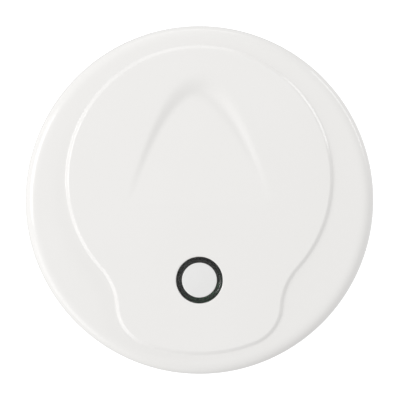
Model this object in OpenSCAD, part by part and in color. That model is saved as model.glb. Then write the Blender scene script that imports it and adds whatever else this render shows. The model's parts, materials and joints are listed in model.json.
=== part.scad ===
// Battery smoke alarm with a domed front, a lit test button and a bayonet mounting plate.
// The alarm lies on its back: Z = 0 is the ceiling face of the mounting plate and +Z points out of the
// front. +Y points to the top of the front, and the test button sits on the -Y side.

/* [Front cover] */
// Diameter of the front cover
cover_d = 116; // [112:0.5:124]
// Height of the skirt's lower edge above the ceiling
skirt_z = 31; // [30:0.5:33]
// Height of the dome's crown, without the raised panel
crown_z = 44.6; // [44:0.2:47]
// Wall thickness of the front cover
cover_wall = 2.2; // [1.8:0.1:2.6]
// Sphere radius of the domed front
dome_r = 880; // [600:10:1500]
// Radius of the rounded rim
rim_r = 4.5; // [3:0.5:6]
// Height of the raised panel above the dome
panel_h = 0.8; // [0.4:0.1:1.2]
// Deepest point of the thumb-shaped recess
recess_depth = 1.7; // [0.8:0.1:2.2]

/* [Test button] */
// Distance of the button from the front's centre
button_y = -26.6; // [-30:0.2:-24]
// Diameter of the button's hole in the cover
button_hole_d = 15.5; // [14:0.1:17]
// Diameter of the white disc in the button
button_disc_d = 11.6; // [10:0.1:13]
// Free play between the button and its hole
button_play = 0.15; // [0.1:0.05:0.3]

/* [Rear housing] */
// Outer diameter of the rear housing at its top
housing_d = 109; // [107:0.5:110]
// Outer diameter of the rear housing at the ceiling side
housing_foot_d = 105.6; // [104:0.2:108]
// Height of the housing's side wall above the ceiling
housing_top_z = 21; // [20:0.5:22]
// Wall thickness of the housing
housing_wall = 2; // [1.6:0.1:2.4]

/* [Smoke inlet] */
// Number of upright fins round the side
fin_count = 60; // [48:1:66]
// Thickness of one fin
fin_t = 1.7; // [1.2:0.1:2]

/* [Mounting plate] */
// Outer diameter of the mounting plate
plate_d = 104; // [100:1:106]
// Thickness of the mounting plate
plate_t = 2.2; // [1.8:0.1:2.4]
// Diameter of the opening in its middle
plate_open_d = 68; // [66:1:70]
// Distance between the two screw slots
screw_spacing = 84; // [80:1:88]
// Turn that frees the alarm from the plate, in degrees
bayonet_turn = 18; // [12:1:20]

/* [Sensing chamber] */
// Diameter of the optical chamber
chamber_d = 40; // [36:1:42]
// Number of labyrinth vanes for a full circle
vane_count = 20; // [16:1:24]

/* [Battery] */
// Diameter of the lithium cell
cell_d = 17; // [16:0.5:17]
// Length of the lithium cell with its contact button
cell_l = 34.5; // [33:0.5:34.5]

/* [Hidden] */
$fn = 96;
e = 0.1; // overlap that keeps unions and cuts clean

// Front outline of the raised panel: a large top arc, hollow necks, tight corners and a bottom arc
// that runs parallel to the rim. Each pair of neighbouring arcs is tangent.
top_arc_r = 44.2;
top_arc_y = 6.9;
neck_arc_r = 21;
corner_arc_r = 14;
corner_x = 13.5;
bottom_arc_r = cover_d / 2 - 6.8;
corner_y = -sqrt(pow(bottom_arc_r - corner_arc_r, 2) - corner_x * corner_x);

// Thumb recess: a parabola whose tip is at the top of the front
recess_tip_y = 38.4;
recess_foot_y = -1;
recess_half_w = 23.8;

// Screw slots of the mounting plate
slot_w = 4.4;
slot_l = 8;
head_w = 8.6;
head_depth = 1;

// Shallow pockets in the plate's ceiling face, with ribs between them
pocket_deg = 30;
pocket_rib_deg = 3;
pocket_depth = 0.8;
pocket_wall = 2.4;

// Heights through the stack
plate_rim_z = plate_t + 0.7;
floor_z = 3.2;
floor_t = 2;
floor_top = floor_z + floor_t;
board_t = 1.6;
board_z = 33.2;
board_top = board_z + board_t;
board_r = 47;
board_hole_r = 1.25;
post_r = 3.2;
post_ring = 42;
post_angles = [40, 160, 280];
pilot_r = 1.05;

// Bayonet
hook_angles = [90, 210, 330];
hook_half_deg = 6;
hook_in_r = 39;
hook_out_r = 41;
hook_lip_r = 43.4;
hook_lip_z = floor_top + 0.3;
hook_lip_t = 1.4;
hook_play = 0.4;
hook_play_deg = 0.7;

// Battery bay and door
bay_y = -14;
bay_half_x = 21.2;
bay_half_y = 9.4;
bay_wall = 1.4;
bay_roof_z = 22.6;
cell_z = 13.9;
door_play = 0.3;
door_half_x = bay_half_x - door_play;
door_t = 1.8;
hinge_y = bay_y - bay_half_y - 1.4;
hinge_z = floor_z + 1.1;
hinge_barrel_r = 1.1;
hinge_pin_r = 0.8;
hinge_pin_play = 0.06;
hinge_ear_w = 2;
hinge_ear_half_y = 1.8;
hinge_ear_h = 2.4;

// Inlet ring
inlet_in_r = 51.2;

// Cover hooks
cover_hook_angles = [10, 130, 250];
cover_hook_w = 6;
cover_hook_r = 49.4;
cover_hook_t = 1.5;
cover_hook_z = 17.5;
cover_hook_nose = 2.1;

// Chamber and horn places on the board
chamber_y = 23;
chamber_foot_z = 17.2;
chamber_vane_r = 17.4;
lens_z = 25;
led_deg = 205;
diode_deg = 335;
horn_x = 32;
horn_y = 2;
horn_r = 15;
horn_foot_z = 24.2;
horn_ledge_z = 28.2;
membrane_t = 0.25;
cap_x = -28;
cap_y = -24;
cap_lead_x = 1.75;
cap_lead_r = 0.3;
small_l = 3.1;
small_w = 1.6;

// Points along an arc from angle a to angle b, both ends included
function arc(cx, cy, r, a, b, n) =
    [for (i = [0 : n]) let (t = a + (b - a) * i / n) [cx + r * cos(t), cy + r * sin(t)]];

// Centre of the neck arc, tangent from outside to the top arc and to the corner arc
function neck_centre() =
    let (
        ax = corner_x,
        ay = corner_y - top_arc_y,
        d = sqrt(ax * ax + ay * ay),
        ra = top_arc_r + neck_arc_r,
        rb = corner_arc_r + neck_arc_r,
        along = (ra * ra - rb * rb + d * d) / (2 * d),
        aside = sqrt(ra * ra - along * along)
    )
    [ax / d * along - ay / d * aside, top_arc_y + ay / d * along + ax / d * aside];

// Right half of the panel's outline, from the top down to the bottom
function panel_half() =
    let (
        n = neck_centre(),
        leave = atan2(n[1] - top_arc_y, n[0]),
        enter = atan2(n[1] - corner_y, n[0] - corner_x),
        low = atan2(corner_y, corner_x)
    )
    concat(
        arc(0, top_arc_y, top_arc_r, 90, leave, 24),
        arc(n[0], n[1], neck_arc_r, 180 + leave, 180 + enter, 8),
        arc(corner_x, corner_y, corner_arc_r, enter, low, 12),
        arc(0, 0, bottom_arc_r, low, -90, 8)
    );

function mirrored(points) = [for (i = [len(points) - 1 : -1 : 0]) [-points[i][0], points[i][1]]];

module panel_outline() {
    half = panel_half();
    polygon(concat(half, mirrored(half)));
}

// Parabola of the recess, open side down
module recess_outline() {
    steps = 16;
    fall = (recess_tip_y - recess_foot_y) / pow(recess_half_w, 2);
    polygon([for (i = [-steps : steps]) let (x = recess_half_w * i / steps)
        [x, recess_tip_y - fall * x * x]]);
}

// Meridian of the domed front, shrunk inwards by t: dome arc, rim arc, then the straight skirt
function cover_meridian(t) =
    let (
        r = cover_d / 2 - t,
        rr = max(rim_r - t, 0.5),
        dz = crown_z - dome_r,
        rim_cx = r - rr,
        big = dome_r - t - rr,
        rim_cz = dz + sqrt(big * big - rim_cx * rim_cx),
        lean = asin(rim_cx / big)
    )
    concat(
        [[0, skirt_z - (t > 0 ? e : 0)], [r - 0.7, skirt_z - (t > 0 ? e : 0)]],
        arc(rim_cx, rim_cz, rr, 0, 90 - lean, 8),
        [for (i = [1 : 6]) let (s = lean * (1 - i / 6)) [(dome_r - t) * sin(s), dz + (dome_r - t) * cos(s)]]
    );

module cover_body(t) {
    rotate_extrude($fn = 180) polygon(cover_meridian(t));
}

module ring(r_in, r_out, z, h) {
    translate([0, 0, z]) difference() {
        cylinder(r = r_out, h = h);
        translate([0, 0, -e]) cylinder(r = r_in, h = h + 2 * e);
    }
}

// Part of a ring between two angles
module sector(r_in, r_out, z, h, from, to) {
    translate([0, 0, z]) rotate([0, 0, from])
        rotate_extrude(angle = to - from) translate([r_in, 0]) square([r_out - r_in, h]);
}

// Box centred on X and Y that stands on z
module block(x, y, z, size) {
    translate([x - size[0] / 2, y - size[1] / 2, z]) cube(size);
}

// ---- mounting plate -------------------------------------------------------------------------

// Slot with round ends, from z upwards
module stadium(w, l, z, h) {
    for (side = [-1, 1]) translate([side * (l - w) / 2, 0, z]) cylinder(d = w, h = h);
    block(0, 0, z, [l - w, w, h]);
}

// Through slot, and a pocket that sinks the screw's head
module screw_slot() {
    stadium(slot_w, slot_l, -e, plate_t + 2 * e);
    stadium(head_w, slot_l + head_w - slot_w, plate_t - head_depth, head_depth + e);
}

// Pockets all round, except where the two screw slots are
module ceiling_pockets() {
    for (at = [pocket_deg : pocket_deg : 360 - pocket_deg]) if (at != 180)
        sector(plate_open_d / 2 + pocket_wall, plate_d / 2 - pocket_wall, -e, pocket_depth + e,
               at - (pocket_deg - pocket_rib_deg) / 2, at + (pocket_deg - pocket_rib_deg) / 2);
}

module bayonet_hook(at) {
    sector(hook_in_r, hook_out_r, plate_t - e, hook_lip_z + hook_lip_t - plate_t + e,
           at - hook_half_deg, at + hook_half_deg);
    sector(hook_in_r, hook_lip_r, hook_lip_z, hook_lip_t, at - hook_half_deg, at + hook_half_deg);
}

module mounting_plate() {
    color("whitesmoke") {
        difference() {
            union() {
                cylinder(d = plate_d, h = plate_t);
                ring(plate_d / 2 - 1.8, plate_d / 2, plate_t - e, plate_rim_z - plate_t + e);
                ring(plate_open_d / 2, plate_open_d / 2 + 1.4, plate_t - e, 0.5 + e);
            }
            translate([0, 0, -e]) cylinder(d = plate_open_d, h = plate_rim_z + 2 * e);
            for (side = [-1, 1]) translate([side * screw_spacing / 2, 0, 0]) screw_slot();
            ceiling_pockets();
        }
        for (a = hook_angles) bayonet_hook(a);
    }
}

// ---- rear housing ---------------------------------------------------------------------------

module housing_shell() {
    foot = housing_foot_d / 2;
    top = housing_d / 2;
    rotate_extrude($fn = 180) polygon([
        [0, floor_z], [foot - 1, floor_z], [foot, floor_z + 1], [top, housing_top_z],
        [top - housing_wall, housing_top_z], [foot - housing_wall, floor_top], [0, floor_top]
    ]);
}

module bayonet_slot(at) {
    from = at - hook_half_deg - hook_play_deg - bayonet_turn;
    to = at + hook_half_deg + hook_play_deg;
    sector(hook_in_r - hook_play, hook_out_r + hook_play, floor_z - e, floor_t + 2 * e, from, to);
    sector(hook_in_r - hook_play, hook_lip_r + hook_play, floor_z - e, floor_t + 2 * e,
           from, from + 2 * hook_half_deg + 2 * hook_play_deg);
}

module board_post(a) {
    rotate([0, 0, a]) translate([post_ring, 0, floor_top - e])
        cylinder(r = post_r, h = board_z - floor_top + e);
}

module bay_shell() {
    outer = [2 * (bay_half_x + bay_wall), 2 * (bay_half_y + bay_wall), bay_roof_z + bay_wall - floor_z];
    block(0, bay_y, floor_z, outer);
}

module bay_hollow() {
    block(0, bay_y, floor_z - e, [2 * bay_half_x, 2 * bay_half_y, bay_roof_z - floor_z + e]);
    // slots in the roof for the two contact strips
    for (side = [-1, 1])
        block(side * (bay_half_x - 0.6), bay_y, bay_roof_z - e, [1.2, 8.6, bay_wall + 2 * e]);
    // room for the door's barrel
    block(0, hinge_y, floor_z - e,
          [2 * bay_half_x, 2 * hinge_ear_half_y - 2 * e, 2 * hinge_barrel_r + door_play + e]);
}

// Two ears that carry the door's hinge stubs
module hinge_ears() {
    for (side = [-1, 1])
        block(side * (door_half_x - hinge_ear_w / 2), hinge_y, floor_z,
              [hinge_ear_w, 2 * hinge_ear_half_y, hinge_ear_h]);
}

module hinge_bore() {
    translate([-bay_half_x, hinge_y, hinge_z]) rotate([0, 90, 0])
        cylinder(r = hinge_pin_r + hinge_pin_play, h = 2 * bay_half_x, $fn = 48);
}

module hook_window(a) {
    rotate([0, 0, a]) translate([cover_hook_r + cover_hook_t, -cover_hook_w / 2 - 0.4, cover_hook_z - 0.3])
        cube([2.6, cover_hook_w + 0.8, 2.9]);
}

module rear_housing() {
    color("white") difference() {
        union() {
            difference() {
                union() {
                    housing_shell();
                    bay_shell();
                    for (a = post_angles) board_post(a);
                }
                bay_hollow();
                for (a = hook_angles) bayonet_slot(a);
                for (a = post_angles) rotate([0, 0, a]) translate([post_ring, 0, board_z - 8])
                    cylinder(r = pilot_r, h = 9, $fn = 32);
                for (a = cover_hook_angles) hook_window(a);
            }
            hinge_ears();
        }
        hinge_bore();
    }
}

// ---- battery door ---------------------------------------------------------------------------

module battery_door() {
    latch_y = bay_y + bay_half_y - door_play;
    barrel_half = door_half_x - hinge_ear_w - door_play;
    color("white") {
        difference() {
            translate([-door_half_x, hinge_y, floor_z]) cube([2 * door_half_x, latch_y - hinge_y, door_t]);
            // relief round the ears
            for (side = [-1, 1]) block(side * (door_half_x - hinge_ear_w / 2), hinge_y, floor_z - e,
                [hinge_ear_w + 2 * door_play, 2 * hinge_ear_half_y + 1.6, door_t + 2 * e]);
            // thumb scoop by the latch
            translate([0, latch_y - 3.5, floor_z - 5.2]) rotate([0, 90, 0])
                cylinder(r = 6, h = 14, center = true);
        }
        translate([-barrel_half, hinge_y, hinge_z]) rotate([0, 90, 0])
            cylinder(r = hinge_barrel_r, h = 2 * barrel_half);
        translate([-door_half_x + 0.2, hinge_y, hinge_z]) rotate([0, 90, 0])
            cylinder(r = hinge_pin_r, h = 2 * door_half_x - 0.4, $fn = 48);
        // latch tongue, and ribs that give the thumb a grip
        block(0, latch_y - 0.9, floor_z + door_t - e, [8, 1, 2.2]);
        for (i = [0 : 2]) block(0, latch_y - 9 - 1.8 * i, floor_z - 0.3, [12, 0.8, 0.3 + e]);
    }
}

// ---- smoke inlet ----------------------------------------------------------------------------

module inlet_ring() {
    r_out = housing_d / 2 - 0.1;
    rail_h = 1.4;
    fin_h = skirt_z - housing_top_z - 2 * rail_h;
    color("white") {
        ring(inlet_in_r, r_out, housing_top_z, rail_h);
        ring(inlet_in_r, r_out, skirt_z - rail_h, rail_h);
        for (i = [0 : fin_count - 1]) rotate([0, 0, i * 360 / fin_count])
            translate([inlet_in_r + 0.3, -fin_t / 2, housing_top_z + rail_h - e])
                cube([r_out - inlet_in_r - 0.7, fin_t, fin_h + 2 * e]);
    }
}

// ---- front cover ----------------------------------------------------------------------------

module raised_panel() {
    intersection() {
        translate([0, 0, panel_h]) cover_body(0);
        translate([0, 0, crown_z - 5]) linear_extrude(height = 8) panel_outline();
    }
}

// Planar cut that is deepest at the tip of the parabola and runs out at its foot
module recess_cut() {
    panel_z = crown_z + panel_h;
    drop = recess_depth + recess_tip_y * recess_tip_y / (2 * dome_r);
    tilt = atan(drop / (recess_tip_y - recess_foot_y));
    translate([0, recess_foot_y, panel_z]) rotate([-tilt, 0, 0]) translate([0, -recess_foot_y, 0])
        linear_extrude(height = 6) recess_outline();
}

// Height of the dome's inner face at radius r, plus a little so that what hangs from it merges
function under_dome(r) =
    crown_z - dome_r + sqrt(pow(dome_r - cover_wall, 2) - r * r) + 0.3;

module cover_hook(a) {
    rotate([0, 0, a]) {
        translate([cover_hook_r, -cover_hook_w / 2, cover_hook_z])
            cube([cover_hook_t, cover_hook_w, under_dome(cover_hook_r + cover_hook_t) - cover_hook_z]);
        translate([cover_hook_r + cover_hook_t - e, -cover_hook_w / 2, cover_hook_z])
            cube([cover_hook_nose + e, cover_hook_w, 2.2]);
    }
}

module front_cover() {
    color("white") difference() {
        union() {
            difference() {
                union() {
                    cover_body(0);
                    raised_panel();
                }
                cover_body(cover_wall);
            }
            translate([0, button_y, collar_z])
                cylinder(d = button_hole_d + 3, h = under_dome(button_y) - collar_z);
            ring(inlet_in_r + 0.8, inlet_in_r + 2.2, skirt_z, under_dome(inlet_in_r + 2.2) - skirt_z);
            for (a = cover_hook_angles) cover_hook(a);
        }
        recess_cut();
        translate([0, button_y, collar_z - e]) cylinder(d = button_hole_d, h = 12);
    }
}

// ---- test button and its switch -------------------------------------------------------------

collar_z = 38.5;
button_top = crown_z + panel_h - button_y * button_y / (2 * dome_r);
lens_top = button_top - 0.4;
flange_t = 1;
lens_foot = collar_z - flange_t - 0.05;
web_t = 1.3;
web_top = lens_top - 0.7;
plunger_top = 40;

module button_light_ring() {
    r = button_hole_d / 2 - button_play;
    pipe_r = button_disc_d / 2 + 0.1;
    stem_r = 1.6;
    color([0.8, 0.85, 0.85, 0.4]) translate([0, button_y, 0]) {
        ring(pipe_r, r, lens_foot, lens_top - lens_foot);
        translate([0, 0, web_top - web_t]) cylinder(r = pipe_r + e, h = web_t);
        ring(r - e, r + 1.35, lens_foot, flange_t);
        translate([0, 0, plunger_top + 0.02]) cylinder(r = stem_r, h = web_top - web_t - plunger_top);
    }
}

module button_disc() {
    color("gainsboro") translate([0, button_y, web_top])
        cylinder(d = button_disc_d, h = button_top - web_top);
}

module switch_body() {
    color("dimgray") translate([0, button_y, 0]) difference() {
        union() {
            block(0, 0, board_top, [6.2, 6.2, 3.1]);
            for (x = [-3.5, 3.5], y = [-2.2, 2.2]) block(x, y, board_top, [1.4, 0.8, 0.4]);
        }
        translate([0, 0, board_top + 1]) cylinder(r = 2.6, h = 3);
    }
}

module switch_frame() {
    color("silver") translate([0, button_y, board_top + 3.1]) difference() {
        block(0, 0, 0, [6.2, 6.2, 0.3]);
        translate([0, 0, -e]) cylinder(r = 1.85, h = 1);
    }
}

module switch_plunger() {
    color("black") translate([0, button_y, 0]) {
        translate([0, 0, board_top + 2]) cylinder(r = 1.75, h = plunger_top - board_top - 2);
        translate([0, 0, board_top + 1.9]) cylinder(r = 2.4, h = 0.8);
    }
}

// ---- circuit board --------------------------------------------------------------------------

module circuit_board() {
    color("darkgreen") difference() {
        translate([0, 0, board_z]) cylinder(r = board_r, h = board_t);
        for (a = post_angles) rotate([0, 0, a]) translate([post_ring, 0, board_z - e])
            cylinder(r = board_hole_r, h = board_t + 2 * e, $fn = 48);
        // slots for the contact strips and holes for the capacitor's leads
        for (side = [-1, 1]) {
            block(side * (bay_half_x - 0.6), bay_y, board_z - e, [0.8, 3.4, board_t + 2 * e]);
            translate([cap_x + side * cap_lead_x, cap_y, board_z - e])
                cylinder(r = cap_lead_r + 0.1, h = board_t + 2 * e, $fn = 24);
        }
    }
}

module board_screws() {
    color("silver") for (a = post_angles) rotate([0, 0, a]) translate([post_ring, 0, 0]) {
        difference() {
            translate([0, 0, board_top]) cylinder(r = 2, h = 1.5);
            for (turn = [0, 90]) rotate([0, 0, turn]) block(0, 0, board_top + 0.8, [2.4, 0.5, 1]);
        }
        translate([0, 0, board_z - 6.5]) cylinder(r = 1, h = board_top - board_z + 6.5 + e, $fn = 32);
    }
}

// Flat part with rows of leads, such as a chip
module chip(x, y, body, leads, pitch) {
    color("black") block(x, y, board_top + 0.15, body);
    color("silver") for (side = [-1, 1], i = [0 : leads - 1])
        block(x + side * (body[0] / 2 + 0.45), y + (i - (leads - 1) / 2) * pitch, board_top,
              [1.1, pitch * 0.35, 0.6]);
}

module microcontroller() {
    chip(2, 6, [7.6, 12.8, 2.2], 10, 1.27);
}

module horn_driver() {
    chip(27, -12, [3.9, 4.9, 1.5], 4, 1.27);
}

// Column of small two-ended chips that lie across it on the board's front
module chip_column(x, y, count, step, h) {
    for (i = [0 : count - 1]) block(x, y + step * i, board_top, [small_l, small_w, h]);
}

// Row of small two-ended chips that stand across it on the board's front
module chip_row(x, y, count, step, h) {
    for (i = [0 : count - 1]) block(x + step * i, y, board_top, [small_w, small_l, h]);
}

module chip_resistors() {
    h = 0.55;
    color("black") {
        chip_column(-18, -4, 5, 3.2, h);
        chip_row(14, 14, 4, 3.6, h);
        chip_column(-12, -34, 3, -3.2, h);
    }
}

module chip_capacitors() {
    h = 1.1;
    color("tan") {
        chip_column(-11, -4, 4, 3.4, h);
        chip_row(15, 5, 3, 3.6, h);
        chip_column(13, -35, 2, -3.4, h);
    }
}

module status_leds() {
    led_x = 8.4;
    color("lightyellow") for (side = [-1, 1]) {
        block(side * led_x, button_y, board_top, [1.6, 3, 0.5]);
        block(side * led_x, button_y, board_top + 0.5 - e / 2, [1.4, 1.8, 0.6]);
    }
}

// Low metal can with round ends, on a flange
module crystal() {
    can_w = 3.2;
    can_l = 8;
    flange = 0.6;
    color("silver") translate([-9, 17, board_top]) rotate([0, 0, 90]) {
        stadium(can_w + flange, can_l + flange, 0, 0.4);
        stadium(can_w, can_l, 0, 2);
    }
}

module test_header() {
    pitch = 2.54;
    pins = 5;
    x = -31;
    y = -14;
    color("black") block(x, y, board_top, [2.5, pins * pitch, 2.5]);
    color("gold") for (i = [0 : pins - 1])
        block(x, y + (i - (pins - 1) / 2) * pitch, board_top + 2.5, [0.64, 0.64, 2.2]);
}

module reservoir_capacitor() {
    can_h = 11.4;
    color("navy") translate([cap_x, cap_y, board_z - can_h - 0.1]) {
        cylinder(r = 4, h = can_h);
        for (side = [-1, 1]) translate([side * cap_lead_x, 0, can_h - e])
            cylinder(r = cap_lead_r, h = board_t + 0.8, $fn = 24);
    }
}

module horn_coil() {
    color("saddlebrown") translate([-34, -8, board_z - 10]) {
        cylinder(r = 4.4, h = 1.2);
        cylinder(r = 3.4, h = 9.9);
        translate([0, 0, 8.7]) cylinder(r = 4.4, h = 1.2);
    }
}

// ---- sensing chamber ------------------------------------------------------------------------

module holder_block(deg) {
    rotate([0, 0, deg]) translate([7.6, -3.8, lens_z - 3.8]) cube([8.2, 7.6, board_z - 1 - lens_z + 3.8]);
}

module holder_bore(deg, r) {
    rotate([0, 0, deg]) translate([6.6, 0, lens_z]) rotate([0, 90, 0]) cylinder(r = r, h = 11);
}

module chamber_base() {
    color([0.08, 0.08, 0.09]) translate([0, chamber_y, 0]) difference() {
        union() {
            translate([0, 0, board_z - 1.8]) cylinder(d = chamber_d, h = 1.8);
            holder_block(led_deg);
            holder_block(diode_deg);
        }
        holder_bore(led_deg, 2.6);
        holder_bore(diode_deg, 2.6);
        for (deg = [led_deg, diode_deg]) rotate([0, 0, deg])
            block(16.6, 0, board_z - 4, [1.6, 4.4, 6]);
    }
}

function near(a, b, gap) = abs(((a - b + 540) % 360) - 180) < gap;

// Angled vanes keep room light out and let smoke through
module chamber_labyrinth() {
    foot_t = 1.2;
    vane_h = board_z - 1.9 - chamber_foot_z - foot_t;
    color([0.08, 0.08, 0.09]) translate([0, chamber_y, chamber_foot_z]) {
        cylinder(d = chamber_d, h = foot_t);
        for (i = [0 : vane_count - 1]) {
            a = i * 360 / vane_count;
            if (!near(a, led_deg, 24) && !near(a, diode_deg, 24))
                rotate([0, 0, a]) translate([chamber_vane_r, 0, foot_t - e]) rotate([0, 0, 38]) {
                    block(0, 0, 0, [3.9, 0.9, vane_h + e]);
                    block(-1.5, -0.9, 0, [0.9, 2.2, vane_h + e]);
                }
        }
    }
}

module insect_screen() {
    color("silver") translate([0, chamber_y, 0])
        ring(chamber_d / 2 + 0.3, chamber_d / 2 + 0.55, chamber_foot_z + 0.6, board_z - 1.2 - chamber_foot_z);
}

// Domed optical part on two leads that rise to the board
module optical_part(deg, dome) {
    translate([0, chamber_y, 0]) rotate([0, 0, deg]) translate([0, 0, lens_z]) {
        translate([8.4, 0, 0]) rotate([0, 90, 0]) cylinder(r = 2.45, h = 7.2);
        if (dome) translate([8.4, 0, 0]) sphere(r = 2.4);
        for (side = [-1, 1]) {
            translate([15.5, side * 1.27 - 0.25, -0.25]) cube([1.35, 0.5, 0.5]);
            translate([16.4, side * 1.27 - 0.25, -0.25]) cube([0.5, 0.5, board_z - lens_z + 0.2]);
        }
    }
}

module infrared_led() {
    color([0.35, 0.4, 0.6]) optical_part(led_deg, true);
}

module photodiode() {
    color([0.1, 0.1, 0.14]) optical_part(diode_deg, true);
}

// ---- horn -----------------------------------------------------------------------------------

module horn_housing() {
    inner = horn_r - 1.4;
    color("whitesmoke") translate([horn_x, horn_y, 0]) rotate_extrude() polygon([
        [3, horn_foot_z], [horn_r, horn_foot_z], [horn_r, board_z], [inner, board_z],
        [inner, horn_ledge_z], [inner - 1.3, horn_ledge_z],
        [inner - 1.3, horn_foot_z + 1.2], [3, horn_foot_z + 1.2]
    ]);
}

module horn_membrane() {
    color("goldenrod") translate([horn_x, horn_y, horn_ledge_z]) cylinder(r = horn_r - 1.5, h = membrane_t);
}

module horn_ceramic() {
    color("lightgray") translate([horn_x, horn_y, horn_ledge_z + membrane_t]) cylinder(r = 9.5, h = 0.25);
}

// Bent strip from the board down to the horn's disc
module contact_finger(foot_z) {
    strip_w = 1.6;
    foot_l = 1.2;
    head_x = foot_l + 4;
    head_l = 1.6;
    t = 0.3;
    rotate([90, 0, 0]) linear_extrude(height = strip_w, center = true) polygon([
        [0, foot_z], [foot_l, foot_z], [head_x, board_z - t], [head_x + head_l, board_z - t],
        [head_x + head_l, board_z], [head_x - 0.2, board_z], [foot_l - 0.2, foot_z + 1.5 * t], [0, foot_z + t]
    ]);
}

module horn_contacts() {
    on_brass = horn_ledge_z + membrane_t;
    on_ceramic = on_brass + 0.25;
    color("silver") translate([horn_x, horn_y, 0]) {
        translate([-12, 0, 0]) contact_finger(on_brass);
        translate([2, 4, 0]) contact_finger(on_ceramic);
        translate([2, -4, 0]) contact_finger(on_ceramic);
    }
}

// ---- battery --------------------------------------------------------------------------------

can_l = cell_l - 1.3;
can_x0 = -cell_l / 2 + 0.4;

module along_x(x0) {
    translate([x0, bay_y, cell_z]) rotate([0, 90, 0]) children();
}

module battery_cell() {
    color("silver") {
        along_x(can_x0) cylinder(d = cell_d - 0.4, h = can_l);
        along_x(can_x0 + can_l - e) cylinder(d = 7, h = 1.3 + e);
    }
}

module battery_sleeve() {
    color("steelblue") along_x(can_x0 + 0.3) difference() {
        cylinder(d = cell_d, h = can_l - 0.6);
        translate([0, 0, -e]) cylinder(d = cell_d - 0.4, h = can_l);
    }
}

// Strip that stands in the bay's end and rises through the roof to the board
module contact_strip(side) {
    t = 0.4;
    x = side * (bay_half_x - 0.6) - t / 2;
    translate([x, bay_y - 4, 7]) cube([t, 8, bay_roof_z - 6]);
    translate([x, bay_y - 1.5, bay_roof_z]) cube([t, 3, board_top - bay_roof_z + 0.4]);
}

module positive_contact() {
    tip = can_x0 + can_l + 1.3;
    strip_x = bay_half_x - 0.8;
    color("silver") {
        contact_strip(1);
        // sprung bump that meets the cell's contact button
        translate([0, bay_y, 0]) rotate([90, 0, 0]) linear_extrude(height = 5, center = true) polygon([
            [strip_x + e, cell_z + 5], [tip + 0.5, cell_z + 2], [tip + 0.1, cell_z], [tip + 0.5, cell_z - 2],
            [tip + 0.9, cell_z - 2], [tip + 0.5, cell_z], [tip + 0.9, cell_z + 2], [strip_x + e, cell_z + 4.4]
        ]);
    }
}

module negative_contact() {
    color("silver") contact_strip(-1);
}

// Conical coil: a round wire swept along a spiral that narrows towards the cell
spring_turns = 3.5;
spring_wire_r = 0.3;
spring_steps = 63;
spring_sides = 8;
spring_foot_x = -bay_half_x + 1.15;
spring_len = can_x0 - 0.35 - spring_foot_x;

function spring_at(i) =
    let (s = i / spring_steps, r = 5.2 - 2.4 * s, a = 360 * spring_turns * s)
    [spring_foot_x + spring_len * s, bay_y + r * cos(a), cell_z + r * sin(a)];

function spring_ring(i) =
    let (s = i / spring_steps, a = 360 * spring_turns * s, c = spring_at(i))
    [for (k = [0 : spring_sides - 1]) let (b = 360 * k / spring_sides)
        c + spring_wire_r * [sin(b), cos(b) * cos(a), cos(b) * sin(a)]];

module negative_spring() {
    points = [for (i = [0 : spring_steps]) each spring_ring(i)];
    n = spring_sides;
    sides = [for (i = [0 : spring_steps - 1], k = [0 : n - 1])
        [i * n + k, i * n + (k + 1) % n, (i + 1) * n + (k + 1) % n, (i + 1) * n + k]];
    first = [for (k = [n - 1 : -1 : 0]) k];
    last = [for (k = [0 : n - 1]) spring_steps * n + k];
    color("silver") polyhedron(points, concat(sides, [first, last]));
}

// ---- label ----------------------------------------------------------------------------------

module rating_label() {
    color("gainsboro") block(0, 13, floor_z - 0.12, [34, 22, 0.12]);
}

mounting_plate();
rear_housing();
battery_door();
inlet_ring();
front_cover();
button_light_ring();
button_disc();
switch_body();
switch_frame();
switch_plunger();
circuit_board();
board_screws();
chamber_base();
chamber_labyrinth();
insect_screen();
infrared_led();
photodiode();
horn_housing();
horn_membrane();
horn_ceramic();
horn_contacts();
battery_cell();
battery_sleeve();
positive_contact();
negative_contact();
negative_spring();
status_leds();
microcontroller();
horn_driver();
reservoir_capacitor();
horn_coil();
chip_resistors();
chip_capacitors();
crystal();
test_header();
rating_label();
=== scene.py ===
# %% [markdown]
# # A round white smoke alarm, seen square-on
#
# A smoke alarm is a shallow tub with a glossy cover snapped over it. From the front one sees only the cover.
# It is almost flat, with a raised panel shaped like a shield, a shallow thumb recess like an arch, and a test
# button in a clear ring. Soft light slides over such a face and shows every half millimetre of relief, so
# the lesson spends most of its effort on one smooth surface, and then dresses the parts round it.

# %% The frame and the tools
import json
import math

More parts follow.
